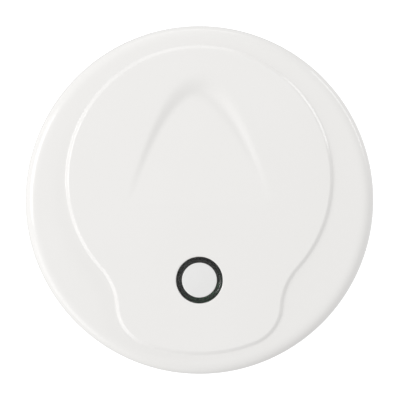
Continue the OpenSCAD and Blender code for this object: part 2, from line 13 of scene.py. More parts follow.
import bmesh
import bpy
import numpy as np
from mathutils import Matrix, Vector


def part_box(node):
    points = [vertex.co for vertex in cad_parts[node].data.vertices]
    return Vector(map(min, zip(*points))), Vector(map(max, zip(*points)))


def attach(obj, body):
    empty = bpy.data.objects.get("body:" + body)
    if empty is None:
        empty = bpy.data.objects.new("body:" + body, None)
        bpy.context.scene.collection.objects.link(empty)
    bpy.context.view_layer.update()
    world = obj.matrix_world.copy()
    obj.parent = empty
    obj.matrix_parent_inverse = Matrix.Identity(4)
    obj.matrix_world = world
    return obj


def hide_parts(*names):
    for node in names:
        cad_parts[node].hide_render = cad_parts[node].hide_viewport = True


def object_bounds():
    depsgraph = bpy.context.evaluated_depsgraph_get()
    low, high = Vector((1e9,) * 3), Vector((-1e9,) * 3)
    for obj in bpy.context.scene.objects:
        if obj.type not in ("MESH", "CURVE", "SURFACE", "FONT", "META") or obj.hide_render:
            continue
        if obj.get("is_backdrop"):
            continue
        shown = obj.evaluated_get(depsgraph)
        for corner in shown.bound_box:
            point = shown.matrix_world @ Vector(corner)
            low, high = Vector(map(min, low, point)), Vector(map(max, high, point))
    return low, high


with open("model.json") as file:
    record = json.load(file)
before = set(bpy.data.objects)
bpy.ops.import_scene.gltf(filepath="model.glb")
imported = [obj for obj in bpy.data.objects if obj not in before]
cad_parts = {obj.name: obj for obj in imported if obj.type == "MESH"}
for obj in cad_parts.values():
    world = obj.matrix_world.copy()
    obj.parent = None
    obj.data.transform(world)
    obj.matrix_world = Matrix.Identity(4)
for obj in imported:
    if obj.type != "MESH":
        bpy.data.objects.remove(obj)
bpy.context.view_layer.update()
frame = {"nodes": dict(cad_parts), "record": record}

# %% [markdown]
# ## Drawing in millimetres
#
# Blender works in metres, but small moulded parts are drawn in millimetres. Every shape below is worked out
# in millimetres and is scaled once, when its points become a mesh. The places come from the frame, so a
# change in the design moves the looks with it.

# %% Places read from the frame
MM = 0.001


def span(node):
    """Lowest and highest corner of a node, in millimetres."""
    low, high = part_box(node)
    return np.array(low) / MM, np.array(high) / MM


cover_low, cover_high = span("front_cover")
disc_low, disc_high = span("button_disc")
ring_low, ring_high = span("button_light_ring")
inlet_low, inlet_high = span("inlet_ring")
screen_low, screen_high = span("insect_screen")

COVER_R = (cover_high[0] - cover_low[0]) / 2
PANEL_TOP = cover_high[2]
SKIRT_Z = inlet_high[2]
BUTTON = (disc_low[:2] + disc_high[:2]) / 2
DISC_R = (disc_high[0] - disc_low[0]) / 2
FLANGE_W = 1.35
RING_R = (ring_high[0] - ring_low[0]) / 2 - FLANGE_W
BOARD_TOP = span("circuit_board")[1][2]
PLUNGER_TOP = span("switch_plunger")[1][2]
print(f"cover radius {COVER_R:.1f} mm, panel top {PANEL_TOP:.1f} mm, button at y {BUTTON[1]:.1f} mm")

# %% [markdown]
# ## The camera
#
# The alarm is seen straight from the front, as a shop would show it. The part lies on its back, so the
# camera hangs above it and looks down, with the top of the face towards +Y. A long lens from more than a
# metre away keeps the outline a true circle.

# %% Hang the camera
CAMERA_HEIGHT = 1.3
VIEW_WIDTH = 0.1335
VIEW_CENTRE = (0.0002, 0.0)
RIM_HEIGHT = 0.038
VIEW_DEPTH = 20.0

camera = bpy.data.objects.new("camera", bpy.data.cameras.new("camera"))
camera.location = (*VIEW_CENTRE, CAMERA_HEIGHT)
camera.data.lens = camera.data.sensor_width * (CAMERA_HEIGHT - RIM_HEIGHT) / VIEW_WIDTH
camera.data.clip_end = VIEW_DEPTH
bpy.context.collection.objects.link(camera)
bpy.context.scene.camera = camera
print(f"lens {camera.data.lens:.0f} mm")

# %% [markdown]
# ## The light
#
# The face is white on white, so shape shows only through shading. A wide soft light halfway up on the left
# makes slopes that face it brighter and slopes that turn away darker, and a lower one beside it reaches the
# steep side of the rim. The world fills the rest, so that nothing goes black. Two long strips just above the
# table, at the top and on the upper right, hardly shade anything, but the glossy edges pick them up as a
# thin bright line. All of them stand four metres off, so that the light is even across the face.

# %% Set the lights
LIGHT_DISTANCE = 4.0
SKY_STRENGTH = 0.685

scene = bpy.context.scene
scene.view_settings.view_transform = "Standard"
scene.world = bpy.data.worlds.new("studio")
scene.world.use_nodes = True
sky = scene.world.node_tree.nodes["Background"]
sky.inputs["Color"].default_value = (1.0, 1.0, 1.0, 1.0)
sky.inputs["Strength"].default_value = SKY_STRENGTH


def soft_light(name, azimuth, elevation, width, length, power):
    """A rectangular light on a sphere round the alarm: its place is the direction, from two angles in
    degrees, times the distance, and it looks back at the middle."""
    lamp = bpy.data.lights.new(name, "AREA")
    lamp.shape = "RECTANGLE"
    lamp.size, lamp.size_y = width, length
    lamp.energy = power
    holder = bpy.data.objects.new(name, lamp)
    a, e = math.radians(azimuth), math.radians(elevation)
    direction = (math.cos(a) * math.cos(e), math.sin(a) * math.cos(e), math.sin(e))
    holder.location = [LIGHT_DISTANCE * along for along in direction]
    holder.rotation_euler = (-holder.location).to_track_quat("-Z", "Y").to_euler()
    bpy.context.collection.objects.link(holder)


soft_light("left_light", 168, 38, 2.0, 1.6, 54.0)
soft_light("low_light", 215, 24, 2.6, 2.0, 24.0)
soft_light("edge_light", 32, 10, 2.4, 0.32, 29.0)
soft_light("top_light", 96, 13, 3.0, 0.8, 12.0)

# %% [markdown]
# ## Turning numbers into surfaces
#
# Nearly every piece here is a grid: rows of points, each row like the one before it. A grid that closes on
# itself both ways is a solid. Where a row shrinks to one point, as at the tip of a dome, the points are
# merged. A signed volume tells whether the faces point outwards, and they are turned round if not.

# %% From grids of points to a mesh
MERGE_DISTANCE = 1e-8


def skin(points, close_rows=True, close_columns=True):
    """Vertices and four-sided faces of a grid (rows, columns, 3). A closed direction joins its last row or
    column to its first. The faces point outwards: where a sixth of the sum of p0 . (p1 x p2) over the
    triangles is negative, they are turned round."""
    rows, columns = points.shape[:2]
    index = np.arange(rows * columns).reshape(rows, columns)
    if close_rows:
        index = np.vstack([index, index[:1]])
    if close_columns:
        index = np.hstack([index, index[:, :1]])
    cells = [index[:-1, :-1], index[:-1, 1:], index[1:, 1:], index[1:, :-1]]
    faces = np.stack(cells, -1).reshape(-1, 4)
    vertices = points.reshape(-1, 3)
    p = vertices[faces] - vertices.mean(0)
    halves = np.cross(p[:, 1], p[:, 2]) + np.cross(p[:, 2], p[:, 3])
    volume = np.einsum("ij,ij->", p[:, 0], halves)
    return vertices, faces if volume > 0 else faces[:, ::-1]


def make(name, *skins, sharp_angle=50):
    """One piece from several skins in millimetres. Points that coincide, as at a pole, are merged, and the
    shading is smooth except where faces meet at more than sharp_angle degrees."""
    offsets = np.cumsum([0] + [len(vertices) for vertices, _ in skins])
    mesh = bpy.data.meshes.new(name)
    vertices = np.vstack([vertices for vertices, _ in skins]) * MM
    faces = np.vstack([faces + offset for (_, faces), offset in zip(skins, offsets)])
    mesh.from_pydata(vertices.tolist(), [], faces.tolist())
    work = bmesh.new()
    work.from_mesh(mesh)
    bmesh.ops.remove_doubles(work, verts=work.verts, dist=MERGE_DISTANCE)
    work.to_mesh(mesh)
    work.free()
    mesh.shade_smooth()
    mesh.set_sharp_from_angle(angle=math.radians(sharp_angle))
    piece = bpy.data.objects.new(name, mesh)
    bpy.context.collection.objects.link(piece)
    return piece


# %% [markdown]
# ## Rounded outlines
#
# Moulded plastic has no sharp corners. A part turned about an axis is drawn as an outline with a radius at
# each corner, which is how a workshop drawing gives it. The arc that rounds a corner touches both edges, so
# its centre lies on the line that halves the corner.

# %% Round the corners of an outline
def rounded(corners, radii, steps=5, closed=True):
    """Outline through corners (x, y) with an arc of the given radius at each. The arc starts and ends at
    radius / tan(half the corner's angle) from the corner, and turns evenly between the two edges. A radius
    of 0 keeps the corner sharp."""
    corners = [np.array(c, float) for c in corners]
    count = len(corners)
    path = []
    for i, (corner, radius) in enumerate(zip(corners, radii)):
        if radius <= 0 or (not closed and i in (0, count - 1)):
            path.append(corner[None])
            continue
        back = corners[i - 1] - corner
        ahead = corners[(i + 1) % count] - corner
        back, ahead = back / np.linalg.norm(back), ahead / np.linalg.norm(ahead)
        half = math.acos(np.clip(back @ ahead, -1, 1)) / 2
        middle = (back + ahead) / np.linalg.norm(back + ahead)
        centre = corner + middle * radius / math.sin(half)
        start, end = corner + back * radius / math.tan(half), corner + ahead * radius / math.tan(half)
        a = math.atan2(*(start - centre)[::-1])
        turn = (math.atan2(*(end - centre)[::-1]) - a + math.pi) % (2 * math.pi) - math.pi
        t = a + turn * np.linspace(0, 1, steps + 1)
        path.append(centre + radius * np.stack([np.cos(t), np.sin(t)], -1))
    return np.vstack(path)


def turned(outline, centre=(0, 0), turns=128, closed=True):
    """Skin of revolution about an upright axis: x = centre + r cos a, y = centre + r sin a, for each (r, z)
    of the outline and each angle a. An outline that starts and ends on the axis isn't closed."""
    a = np.linspace(0, 2 * math.pi, turns, endpoint=False)
    r, z = outline[:, :1], outline[:, 1:]
    points = np.stack([centre[0] + r * np.cos(a), centre[1] + r * np.sin(a), z + 0 * a], -1)
    return skin(points, close_rows=closed)


def upright(outline, low, high):
    """Skin of an upright bar: a flat outline (x, y) at the low and the high level, and its middle point at
    both, which closes the ends."""
    middle = np.tile(outline.mean(0), (len(outline), 1))
    rows = [(middle, low), (outline, low), (outline, high), (middle, high)]
    points = np.stack([np.column_stack([row, np.full(len(row), z)]) for row, z in rows])
    return skin(points, close_rows=False)


def swung(shell, degrees):
    """Copy of a skin, turned about the alarm's own axis."""
    vertices, faces = shell
    a = math.radians(degrees)
    turn = np.array([[math.cos(a), -math.sin(a), 0], [math.sin(a), math.cos(a), 0], [0, 0, 1]])
    return vertices @ turn.T, faces


# %% [markdown]
# ## Finishes
#
# All the finishes start from the same idea: a plastic, a metal or a laminate is one colour to the eye, but
# its colour drifts a little, its gloss isn't even, and its surface has a grain. Three small helpers, tint,
# gloss and grain, add these from cloudy noise on the piece's own coordinates. Numbers that are the same all
# over are set straight on the shader.

# %% A plain material and its nodes
def material(name, colour, roughness, **sockets):
    """Principled material with its colour, roughness and any other sockets set by name."""
    made = bpy.data.materials.new(name)
    made.use_nodes = True
    shader = made.node_tree.nodes["Principled BSDF"]
    shader.inputs["Base Color"].default_value = (*colour, 1.0)
    shader.inputs["Roughness"].default_value = roughness
    for socket, value in sockets.items():
        shader.inputs[socket.replace("_", " ")].default_value = value
    return made


def node(made, kind, inputs=None, **settings):
    """New node in a material, with settings and input values; an input may be another node's output."""
    new = made.node_tree.nodes.new(kind)
    for key, value in settings.items():
        setattr(new, key, value)
    for key, value in (inputs or {}).items():
        if isinstance(value, bpy.types.NodeSocket):
            made.node_tree.links.new(value, new.inputs[key])
        else:
            new.inputs[key].default_value = value
    return new


def wire(made, output, socket):
    """Feeds an output into one of the Principled shader's sockets."""
    shader = made.node_tree.nodes["Principled BSDF"]
    made.node_tree.links.new(output, shader.inputs[socket])


def place(made):
    """The piece's own coordinates, in metres."""
    return node(made, "ShaderNodeTexCoord").outputs["Object"]


def mapped(made, **settings):
    """The piece's own coordinates, stretched by a Scale or turned by a Rotation."""
    return node(made, "ShaderNodeMapping", {"Vector": place(made), **settings}).outputs["Vector"]


def distance_from(made, point_mm):
    """Distance in metres from a point that is given in millimetres."""
    ends = {0: place(made), 1: [c * MM for c in point_mm]}
    return node(made, "ShaderNodeVectorMath", ends, operation="DISTANCE").outputs["Value"]


def maths(made, operation, *values, **settings):
    """Result of a calculation on values, each a number or another node's output."""
    numbered = dict(enumerate(values))
    return node(made, "ShaderNodeMath", numbered, operation=operation, **settings).outputs["Value"]


def ranged(made, value, low, high, new_low=0.0, new_high=1.0):
    """A value carried over from one range to another, and kept within the new one."""
    limits = {"Value": value, "From Min": low, "From Max": high, "To Min": new_low, "To Max": new_high}
    return node(made, "ShaderNodeMapRange", limits).outputs["Result"]


def bump(made, height, depth_mm):
    """Shades the surface as if it rose by that depth where the height is 1."""
    raised = {"Height": height, "Distance": depth_mm * MM, "Strength": 1.0}
    wire(made, node(made, "ShaderNodeBump", raised).outputs["Normal"], "Normal")


# %% Three ways to enrich a finish
LUMPS_FROM, LUMPS_TO = 0.3, 0.7


def cloud(made, size_mm, detail=3.0):
    """Cloudy noise whose lumps are about size_mm across."""
    where = {"Vector": place(made), "Scale": 1 / (size_mm * MM), "Detail": detail}
    return node(made, "ShaderNodeTexNoise", where).outputs["Fac"]


def tint(made, size_mm, first, second):
    """Lets the colour drift between two colours in clouds of that size."""
    ramp = node(made, "ShaderNodeValToRGB", {"Fac": cloud(made, size_mm)})
    ends = zip(ramp.color_ramp.elements, (LUMPS_FROM, LUMPS_TO), (first, second))
    for end, position, colour in ends:
        end.position = position
        end.color = (*colour, 1.0)
    wire(made, ramp.outputs["Color"], "Base Color")


def gloss(made, size_mm, low, high):
    """Lets the roughness wander between low and high in clouds of that size."""
    wire(made, ranged(made, cloud(made, size_mm), LUMPS_FROM, LUMPS_TO, low, high), "Roughness")


def grain(made, size_mm, depth_mm):
    """Raises a fine grain of that size and depth."""
    bump(made, cloud(made, size_mm, 2.0), depth_mm)


# %% [markdown]
# ## Joining a piece to the model
#
# A new piece has to move with the right body, carry a finish, and hide the plain design part it stands for.
# One function does all of it, so that no piece is left behind when the alarm turns or the button goes down.

# %% Join a piece to the model
def seat(piece, body, slot, finish, *stands_for):
    """Gives a piece its finish and the body it moves with, and hides the node it stands for. The slot is not
    used.
    """
    piece.data.materials.append(finish)
    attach(piece, body)
    if stands_for:
        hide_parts(*stands_for)
    triangles = sum(len(face.vertices) - 2 for face in piece.data.polygons)
    print(f"{piece.name}: {triangles} triangles on {body}")
    return piece


# %% [markdown]
# ## The outline of the raised panel
#
# The shield is made of arcs, as the toolmaker would draw it. A large arc makes the top, a hollow neck arc
# leads into a tight corner, and the bottom runs parallel to the rim. Neighbouring arcs are tangent, so the
# neck's centre is where two circles cross: one round the top arc's centre and one round the corner's.

# %% Panel outline with its outward normals
TOP_R, TOP_Y = 44.2, 6.9
NECK_R = 21.0
CORNER_R, CORNER_X = 14.0, 13.5
BOTTOM_R = COVER_R - 6.8
CORNER_Y = -math.sqrt((BOTTOM_R - CORNER_R) ** 2 - CORNER_X**2)


def crossing(first, first_r, second, second_r):
    """Right-hand crossing of two circles: along the line between the centres by (r1^2 - r2^2 + d^2) / 2d,
    then square to it by what Pythagoras leaves."""
    first, second = np.array(first, float), np.array(second, float)
    line = second - first
    d = np.linalg.norm(line)
    line /= d
    along = (first_r**2 - second_r**2 + d**2) / (2 * d)
    return first + line * along + np.array([-line[1], line[0]]) * math.sqrt(first_r**2 - along**2)


def arc(centre, radius, start, end, count, side=1):
    """Points of an arc between two angles in degrees, last one left out, and their normals: the direction
    from the centre, or to it for a hollow arc (side -1)."""
    t = np.radians(np.linspace(start, end, count, endpoint=False))
    away = np.stack([np.cos(t), np.sin(t)], -1)
    return np.hstack([np.array(centre) + radius * away, side * away])


neck = crossing((0, TOP_Y), TOP_R + NECK_R, (CORNER_X, CORNER_Y), CORNER_R + NECK_R)
leave = math.degrees(math.atan2(neck[1] - TOP_Y, neck[0]))
enter = math.degrees(math.atan2(neck[1] - CORNER_Y, neck[0] - CORNER_X))
low = math.degrees(math.atan2(CORNER_Y, CORNER_X))
half_outline = np.vstack([
    arc((0, TOP_Y), TOP_R, 90, leave, 150),
    arc(neck, NECK_R, 180 + leave, 180 + enter, 26, side=-1),
    arc((CORNER_X, CORNER_Y), CORNER_R, enter, low, 36),
    arc((0, 0), BOTTOM_R, low, -90, 28),
])
other_half = half_outline[1:][::-1] * np.array([-1, 1, -1, 1])
bottom_point = np.array([[0, -BOTTOM_R, 0, -1]])
outline = np.vstack([half_outline, bottom_point, other_half])
edge, outward = outline[:, :2], outline[:, 2:]
print(f"panel outline: {len(edge)} points, {np.ptp(edge[:, 0]):.1f} by {np.ptp(edge[:, 1]):.1f} mm")

# %% [markdown]
# ## The height of the face
#
# The face is a sum of simple heights. A huge sphere gives the dome. The panel adds a step that rises
# smoothly across 1.6 mm. The thumb recess takes away a depth that is full at the tip of a parabola and runs
# out towards its open end. The rim drops away like a quarter of a rounded square, gently at first
# and then steeply, which a plain arc can't do.

# %% Heights of the dome, the step, the recess and the rim
DOME_R = 880.0
PANEL_H = 0.8
CROWN = PANEL_TOP - PANEL_H
STEP_W, STEP_LEAN, STEP_SHIFT = 1.6, 1.25, 0.3
RIM_W, RIM_H, RIM_POWER = 4.4, 4.0, 2.5
RECESS_TIP, RECESS_FOOT, RECESS_BEND = 37.7, -1.0, 14.5
RECESS_DEPTH, RECESS_WALL, RECESS_SPREAD = 1.65, 2.2, 4.6
RAMP_LIMIT = 1.15


def ease(t):
    """Smooth step from 0 to 1: 3 t^2 - 2 t^3 between the ends."""
    t = np.clip(t, 0, 1)
    return t * t * (3 - 2 * t)


def dome(x, y):
    """Height of the sphere over a point: what is left of its radius after x and y."""
    return CROWN - DOME_R + np.sqrt(DOME_R**2 - x**2 - y**2)


def recess(x, y):
    """Depth of the thumb recess. The parabola is x^2 = bend * (tip - y), and the distance to it is close to
    (bend * (tip - y) - x^2) / sqrt(bend^2 + 4 x^2). The wall is narrow at the foot, and its width grows with
    the cube of the height to a broad, soft wall at the tip."""
    ramp = np.clip((y - RECESS_FOOT) / (RECESS_TIP - RECESS_FOOT), 0, RAMP_LIMIT)
    within = (RECESS_BEND * (RECESS_TIP - y) - x**2) / np.sqrt(RECESS_BEND**2 + 4 * x**2)
    return RECESS_DEPTH * ramp * ease(within / (RECESS_WALL + RECESS_SPREAD * ramp**3) + 0.5)


deepest = recess(0, np.linspace(RECESS_FOOT, RECESS_TIP, 200)).max()
print(f"the dome falls {CROWN - dome(COVER_R, 0):.1f} mm to the rim, and the recess is {deepest:.1f} mm deep")

# %% [markdown]
# ## The front cover
#
# A height field on square cells would show stairs at the panel's edge and at the rim. So the grid follows
# the shapes: its columns fan out from the button, and its rows run round the hole, then along the panel's
# outline, then along the rim. The rows go on over the rim, up the inside of the skirt, along the
# ceiling and down the collar round the button, until the last row meets the first and the shell is closed.

# %% Rows of the outer face
HOLE_GAP = 0.15
HOLE_R = RING_R + HOLE_GAP
LIP_R = 0.35
COLLAR_Z = ring_low[2] + 1.05
COLLAR_W = 1.5
WALL = 2.2
LIP_ROWS, PANEL_ROWS, STEP_ROWS, BORDER_ROWS, RIM_ROWS, CEILING_ROWS = 6, 77, 18, 8, 24, 11


def on_height(xy, raised):
    """Adds the height of the face to points, with the panel's step at the given share of its height."""
    x, y = xy[:, 0], xy[:, 1]
    z = dome(x, y) + PANEL_H * raised - recess(x, y)
    return np.column_stack([xy, z])


def circle(radius, angle, centre=(0, 0)):
    """Points of a circle at the given angles."""
    return np.array(centre) + radius * np.stack([np.cos(angle), np.sin(angle)], -1)


def shares(count):
    """Even steps up to 1. The start is left out, because the row before already lies there."""
    return np.linspace(0, 1, count + 1)[1:]


fan = np.arctan2(*(edge - BUTTON).T[::-1])
around = np.arctan2(*edge.T[::-1])
inner_edge = edge - outward * (STEP_W / 2 + STEP_SHIFT)
outer_edge = edge + outward * (STEP_W / 2 - STEP_SHIFT)
rim_start = circle(COVER_R - RIM_W, around)

rows = [on_height(circle(HOLE_R, fan, BUTTON), 1) * [1, 1, 0] + [0, 0, COLLAR_Z]]
for t in np.linspace(0, math.pi / 2, LIP_ROWS):
    lip = on_height(circle(HOLE_R + LIP_R * (1 - math.cos(t)), fan, BUTTON), 1)
    rows.append(lip - [0, 0, LIP_R * (1 - math.sin(t))])
hole_edge = circle(HOLE_R + LIP_R, fan, BUTTON)
for t in shares(PANEL_ROWS):
    rows.append(on_height(hole_edge * (1 - t) + inner_edge * t, 1))
for t in shares(STEP_ROWS):
    rows.append(on_height(inner_edge * (1 - t) + outer_edge * t, 1 - ease(t**STEP_LEAN)))
for t in shares(BORDER_ROWS):
    rows.append(on_height(outer_edge * (1 - t) + rim_start * t, 0))
for t in shares(RIM_ROWS) * math.pi / 2:
    rim = on_height(circle(COVER_R - RIM_W + RIM_W * math.sin(t) ** (2 / RIM_POWER), around), 0)
    rows.append(rim - [0, 0, RIM_H * (1 - math.cos(t) ** (2 / RIM_POWER))])
print(f"outer face: {len(rows)} rows of {len(edge)} points")

# %% [markdown]
# The inside is plainer: a wall of even thickness follows the outside. The skirt leans in by a fraction of a
# millimetre towards its edge, as every moulding does so that it comes out of its mould.

# %% Rows of the skirt, the inside and the collar
DRAFT = 0.7
SKIRT_EDGE_R, INSIDE_R = 0.6, 1.2
INSIDE_RUN = 1.5

rim_z = float(dome(COVER_R, 0)) - RIM_H
foot_r = COVER_R - DRAFT
inner_r = COVER_R - WALL - 0.4
ceiling_z = float(dome(inner_r, 0)) - WALL
skirt = rounded(
    [(COVER_R, rim_z), (foot_r, SKIRT_Z), (foot_r - WALL, SKIRT_Z), (inner_r, ceiling_z - 0.4),
     (inner_r - INSIDE_RUN, ceiling_z + 0.03)],
    [0, SKIRT_EDGE_R, SKIRT_EDGE_R, INSIDE_R, 0], steps=4, closed=False)
for r, z in skirt[1:]:
    rows.append(np.column_stack([circle(r, around), np.full(len(around), z)]))
ceiling_edge, collar_edge = circle(skirt[-1, 0], around), circle(HOLE_R + COLLAR_W, fan, BUTTON)
for t in shares(CEILING_ROWS):
    row = ceiling_edge * (1 - t) + collar_edge * t
    rows.append(np.column_stack([row, dome(row[:, 0], row[:, 1]) - WALL]))
rows.append(np.column_stack([collar_edge, np.full(len(fan), COLLAR_Z)]))
cover = make("cover_shell", skin(np.stack(rows)))
print(f"cover: {len(rows)} rows, skirt down to {SKIRT_Z:.1f} mm")

# %% [markdown]
# ### Its glossy white plastic
#
# The cover is white ABS from a polished mould. The colour is a warm white with barely any drift, the gloss
# is high but not a mirror, and a very faint orange-peel keeps reflections from being perfect.

# %% Cover finish
cover_plastic = material("cover_plastic", (0.868, 0.858, 0.842), 0.2, IOR=1.5)
tint(cover_plastic, 30, (0.864, 0.854, 0.837), (0.872, 0.862, 0.847))
gloss(cover_plastic, 14, 0.18, 0.23)
grain(cover_plastic, 0.9, 0.0025)
seat(cover, "alarm", "cover_plastic", cover_plastic, "front_cover")

# %% [markdown]
# ### What holds the cover on
#
# Three snap hooks and a locating ring hang from the inside of the cover. They show only through the inlet.
# A hook is a flat outline, given a width square to the radius.

# %% Hooks and locating ring
HOOK_ANGLES = (10, 130, 250)
HOOK_R, HOOK_T, HOOK_NOSE, HOOK_W = 49.4, 1.5, 2.1, 6.0
HOOK_Z = cover_low[2]
CATCH_LOW, CATCH_HIGH = HOOK_Z + 1.4, HOOK_Z + 2.2
LOCATING_IN, LOCATING_OUT, LOCATING_TOP = 52, 53.4, 41


def slab(outline, width):
    """Skin of a flat upright bar: a (radius, height) outline on the +X side, drawn at half the width to each
    side, with its middle point closing both sides."""
    middle = np.tile(outline.mean(0), (len(outline), 1))
    rows = [(middle, -width / 2), (outline, -width / 2), (outline, width / 2), (middle, width / 2)]
    points = np.stack([np.column_stack([row[:, 0], np.full(len(row), y), row[:, 1]]) for row, y in rows])
    return skin(points, close_rows=False)


hook_top = float(dome(HOOK_R, 0)) - WALL + 0.3
hook_face, hook_tip = HOOK_R + HOOK_T, HOOK_R + HOOK_T + HOOK_NOSE
hook_outline = rounded(
    [(HOOK_R, HOOK_Z), (hook_face + 0.6, HOOK_Z), (hook_tip, CATCH_LOW), (hook_tip, CATCH_HIGH),
     (hook_face, CATCH_HIGH), (hook_face, hook_top), (HOOK_R, hook_top)],
    [0.4, 0.3, 0.3, 0.2, 0.4, 0, 0])
hook = slab(hook_outline, HOOK_W)
locating_outline = rounded(
    [(LOCATING_IN, SKIRT_Z), (LOCATING_OUT, SKIRT_Z), (LOCATING_OUT, LOCATING_TOP),
     (LOCATING_IN, LOCATING_TOP)],
    [0.3, 0.3, 0, 0])
locating = turned(locating_outline, turns=180)
fixings = make("cover_fixings", locating, *[swung(hook, angle) for angle in HOOK_ANGLES])
seat(fixings, "alarm", "cover_plastic", cover_plastic)

# %% [markdown]
# ## The test button
#
# The button is a clear light guide with a white disc let into it. The ring round the disc is a short tube
# of clear plastic: it carries the light of two lamps up to the face. Nothing is lit here, so the ring looks
# dark, because the eye sees through it to the shade, to a near-black circle of painted shade on the board,
# and to the green board below. Its top is dished: a sloping band round the outside is lower towards the disc,
# so that one side of it catches the light and the other side the shade. Both parts are turned about the
# button's axis from rounded outlines.

# %% Light ring and disc
BORE_R = DISC_R + 0.1
ring_top, ring_foot = ring_high[2], ring_low[2]
FLANGE_T, WEB_T, POST_R, POST_GAP = 1.0, 1.3, 1.6, 0.02
DISH_W, DISH_DEPTH = 0.85, 0.38
TURNS = 144

web_top = disc_low[2]
web_foot = web_top - WEB_T
post_foot = PLUNGER_TOP + POST_GAP
flange_r, flange_top = RING_R + FLANGE_W, ring_foot + FLANGE_T
dish_r, dish_z = RING_R - DISH_W, ring_top - DISH_DEPTH
guide = rounded(
    [(0, post_foot), (POST_R, post_foot), (POST_R, web_foot), (BORE_R, web_foot), (BORE_R, ring_foot),
     (flange_r, ring_foot), (flange_r, flange_top), (RING_R, flange_top), (RING_R, ring_top),
     (dish_r, dish_z), (BORE_R, dish_z), (BORE_R, web_top), (0, web_top)],
    [0, 0.2, 0.3, 0.3, 0.15, 0.2, 0.2, 0.2, 0.08, 0.3, 0.08, 0, 0], closed=False)
light_ring = make("light_ring", turned(guide, BUTTON, TURNS, closed=False))

DISC_GAP, DISC_CROWN = 0.01, 0.06
disc_foot, disc_shoulder = web_top + DISC_GAP, disc_high[2] - DISC_CROWN
face = rounded([(0, disc_foot), (DISC_R, disc_foot), (DISC_R, disc_shoulder), (0, disc_high[2])],
               [0, 0.1, 0.3, 0], steps=7, closed=False)
button_face = make("button_face", turned(face, BUTTON, TURNS, closed=False))
print(f"ring from {dish_r:.1f} to {RING_R:.1f} mm round a disc of {DISC_R:.1f} mm radius")

# %% [markdown]
# ### Clear plastic and satin plastic
#
# The flat of the ring is polished and hardly scatters light. Its sloping band is a little frosted, which
# spreads what it mirrors into a soft grey. The disc is satin, so it never shows a lamp as a bright spot.

# %% Ring and disc finish
POLISHED, FROSTED, FROST_EDGE = 0.05, 0.17, 0.1
clear_plastic = material("clear_plastic", (0.78, 0.8, 0.78), 0.1, IOR=1.42, Transmission_Weight=1.0)
off_axis = distance_from(clear_plastic, (*BUTTON, dish_z))
frost = ranged(clear_plastic, off_axis, (dish_r - FROST_EDGE) * MM, dish_r * MM, POLISHED, FROSTED)
wire(clear_plastic, frost, "Roughness")
grain(clear_plastic, 1.2, 0.002)
seat(light_ring, "test_button", "clear_plastic", clear_plastic, "button_light_ring")

button_plastic = material("button_plastic", (0.815, 0.812, 0.806), 0.4, IOR=1.5)
tint(button_plastic, 4, (0.808, 0.806, 0.8), (0.822, 0.818, 0.812))
gloss(button_plastic, 2, 0.36, 0.46)
grain(button_plastic, 0.35, 0.002)
seat(button_face, "test_button", "button_plastic", button_plastic, "button_disc")

# %% [markdown]
# ## The smoke inlet
#
# Smoke enters through a ring of upright fins between two rails, in the shade of the cover's skirt. A fin is
# a flat bar with rounded noses. One outline gives the bar, and copies of it turned about the alarm's axis
# give all sixty, so that they are exactly alike.

# %% Rails and fins
FIN_COUNT, FIN_T = 60, 1.7
INLET_IN, INLET_OUT = 51.2, inlet_high[0]
RAIL_H, RAIL_OVERLAP = 1.4, 0.1
INLET_FOOT = inlet_low[2]

rails = [
    turned(rounded([(INLET_IN, z), (INLET_OUT, z), (INLET_OUT, z + RAIL_H), (INLET_IN, z + RAIL_H)],
                   [0.1, 0.35, 0.35, 0.1], steps=4), turns=240)
    for z in (INLET_FOOT, SKIRT_Z - RAIL_H)
]
inner, outer, half = INLET_IN + 0.3, INLET_OUT - 0.4, FIN_T / 2
nose = rounded([(inner, -half), (outer, -half), (outer, half), (inner, half)], [0.3, 0.7, 0.7, 0.3], steps=4)
fin_foot, fin_top = INLET_FOOT + RAIL_H - RAIL_OVERLAP, SKIRT_Z - RAIL_H + RAIL_OVERLAP
fin = upright(nose, fin_foot, fin_top)
fins = [swung(fin, 360 * i / FIN_COUNT) for i in range(FIN_COUNT)]
louvre = make("inlet_louvre", *rails, *fins)
print(f"{len(fins)} fins, {fin_top - fin_foot:.1f} mm high")

# %% [markdown]
# ### Satin white plastic
#
# The inlet, the housing, the plate and the door come from spark-eroded moulds, which leave a fine matt grain.
# They are a touch darker than the polished cover.

# %% Housing finish
def moulded(name, colour):
    """Satin plastic or paper: a slight drift of colour, an even satin and a fine, shallow grain."""
    made = material(name, colour, 0.45, IOR=1.5)
    tint(made, 25, [c * 0.985 for c in colour], [min(c * 1.012, 1) for c in colour])
    gloss(made, 8, 0.4, 0.5)
    grain(made, 0.5, 0.012)
    return made


housing_plastic = moulded("housing_plastic", (0.82, 0.815, 0.8))
seat(louvre, "alarm", "housing_plastic", housing_plastic, "inlet_ring")

# %% [markdown]
# ## Housing, plate and door
#
# The rear housing, the ceiling plate and the battery door already have the right shape, but their edges are
# knife-sharp, and no moulding is. The real edges have a radius of a few tenths of a millimetre, and that
# radius is what catches the light. A clean copy of each mesh gets a narrow bevel on its sharp edges.

# %% Copies with softened edges
FLAT_ANGLE, EDGE_ANGLE = math.radians(0.5), math.radians(35)


